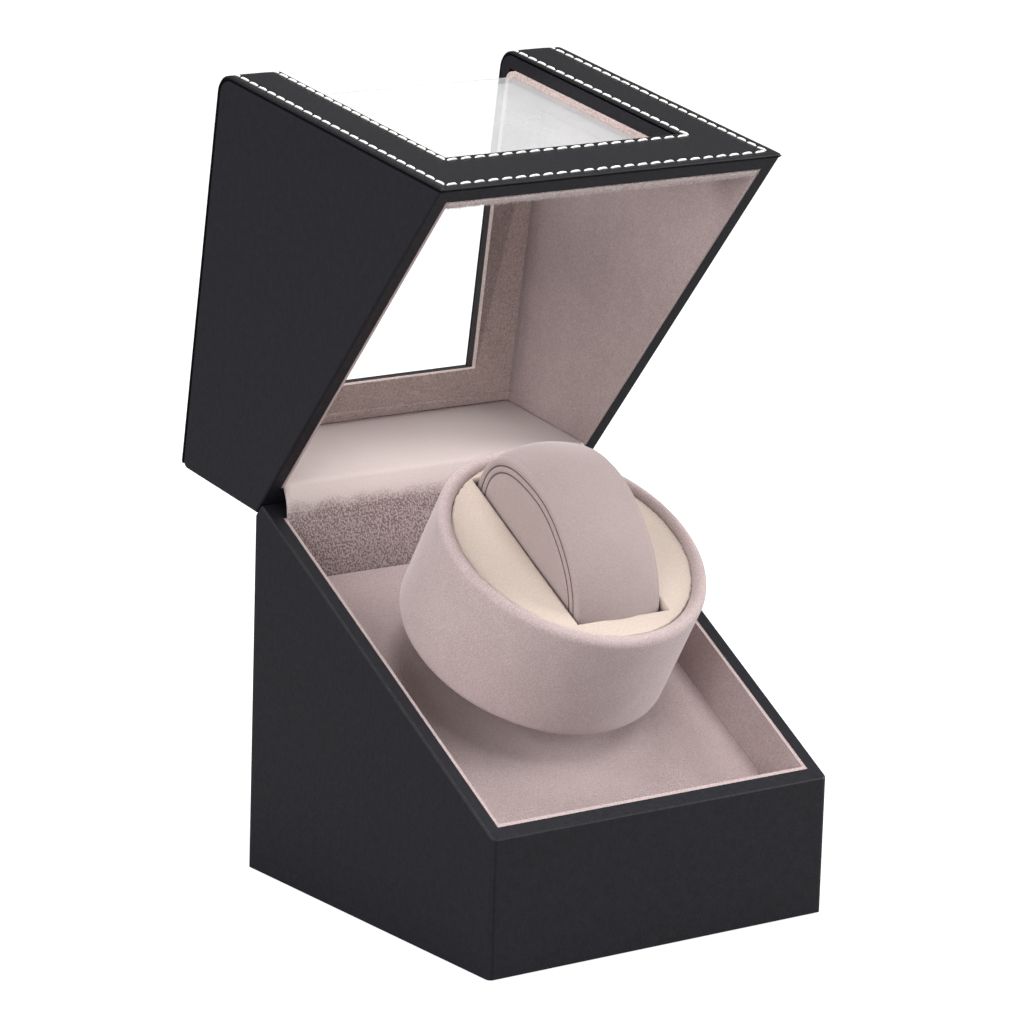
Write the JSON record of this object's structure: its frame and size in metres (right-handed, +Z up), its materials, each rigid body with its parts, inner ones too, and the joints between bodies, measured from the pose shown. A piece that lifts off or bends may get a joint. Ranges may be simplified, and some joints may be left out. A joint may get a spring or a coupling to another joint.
{
  "type": "watch winder box",
  "caption": "Wedge-fronted watch winder box with a hinged window lid and a motor-driven round cup that holds a watch pillow.",
  "frame": {"origin": "centre of the underside, on the surface the box stands on", "axes": "+X to the box's right seen from the front, +Y from the front to the back, +Z up; the lid stands open"},
  "size_m": [0.1228, 0.1656, 0.24],
  "materials": {
    "black_leatherette": "fine grain, satin",
    "fibreboard": "raw",
    "taupe_velvet": "velvet pile",
    "cream_velvet": "velvet pile",
    "black_felt": "pressed felt",
    "clear_acrylic": "clear, polished",
    "zinc_steel": "zinc plated",
    "brass_screw": "bright",
    "bronze_bush": "sintered",
    "white_nylon": "moulded",
    "black_plastic": "moulded",
    "green_circuit_board": "solder mask"
  },
  "bodies": {
    "base": {"base_back_board": "fibreboard", "base_back_lining": "taupe_velvet", "base_floor_board": "fibreboard", "base_front_board": "fibreboard", "base_front_lining": "taupe_velvet", "base_leatherette": "black_leatherette", "base_left_lining": "taupe_velvet", "base_right_lining": "taupe_velvet", "base_side_boards": "fibreboard", "board_pillars": "white_nylon", "board_screws": "zinc_steel", "circuit_board": "green_circuit_board", "controller_chip": "black_plastic", "dc_jack": "black_plastic", "deck_cleats": "fibreboard", "drive_screws": "zinc_steel", "felt_base_pad": "black_felt", "gearbox": "white_nylon", "hinge_base_leaves": "zinc_steel", "hinge_base_screws": "brass_screw", "hinge_pins": "zinc_steel", "hinge_strip_base_edge": "taupe_velvet", "motor_bracket": "zinc_steel", "motor_can": "zinc_steel", "motor_wires": "black_plastic", "mounting_deck": "taupe_velvet", "power_switch_body": "black_plastic", "rear_plate": "black_plastic", "rear_plate_screws": "zinc_steel", "slide_switch_bodies": "zinc_steel", "spindle_bushes": "bronze_bush"},
    "lid": {"lid_leatherette": "black_leatherette", "lid_side_boards": "fibreboard", "lid_window_boards": "fibreboard", "lid_back_board": "fibreboard", "stitched_band": "black_leatherette", "window_pane": "clear_acrylic", "window_frame_card": "taupe_velvet", "lid_left_lining": "taupe_velvet", "lid_right_lining": "taupe_velvet", "lid_back_lining": "taupe_velvet", "lid_front_lining": "taupe_velvet", "hinge_lid_leaves": "zinc_steel", "hinge_lid_screws": "brass_screw", "hinge_strip_lid_edge": "taupe_velvet"},
    "cup": {"cup_shell": "taupe_velvet", "cup_disc": "cream_velvet", "cup_hub": "white_nylon", "hub_screws": "zinc_steel", "spindle": "zinc_steel", "spindle_clip": "zinc_steel", "drive_gear": "white_nylon"},
    "pinion": {"pinion": "white_nylon", "motor_shaft": "zinc_steel"},
    "pillow": {"pillow_cushion": "taupe_velvet", "pillow_left_panel": "taupe_velvet", "pillow_right_panel": "taupe_velvet"},
    "power_rocker": {"power_rocker": "black_plastic"},
    "turns_slider": {"turns_slider": "black_plastic"},
    "direction_slider": {"direction_slider": "black_plastic"}
  },
  "joints": [
    {"name": "lid_hinge", "type": "hinge", "parent": "base", "child": "lid", "pos_m": [0, 0.059, 0.11433], "axis": [1, 0, 0], "range_deg": [0, 82]},
    {"name": "cup_spin", "type": "hinge", "parent": "base", "child": "cup", "pos_m": [0, 0.00258, 0.08097], "axis": [0, -0.5089, 0.8608], "continuous": true},
    {"name": "pinion_spin", "type": "hinge", "parent": "base", "child": "pinion", "pos_m": [-0.03, 0.00258, 0.08097], "axis": [0, -0.5089, 0.8608], "continuous": true},
    {"name": "pillow_lift", "type": "slide", "parent": "cup", "child": "pillow", "axis": [0, 0.5089, -0.8608], "range_m": [-0.05, 0]},
    {"name": "power_rocker_tilt", "type": "hinge", "parent": "base", "child": "power_rocker", "pos_m": [0.026, 0.0599, 0.026], "axis": [1, 0, 0], "range_deg": [-20, 0]},
    {"name": "turns_slide", "type": "slide", "parent": "base", "child": "turns_slider", "axis": [1, 0, 0], "range_m": [0, 0.004]},
    {"name": "direction_slide", "type": "slide", "parent": "base", "child": "direction_slider", "axis": [1, 0, 0], "range_m": [0, 0.004]}
  ],
  "couplings": [
    {"joint": "pinion_spin", "follows": "cup_spin", "ratio": -4}
  ]
}
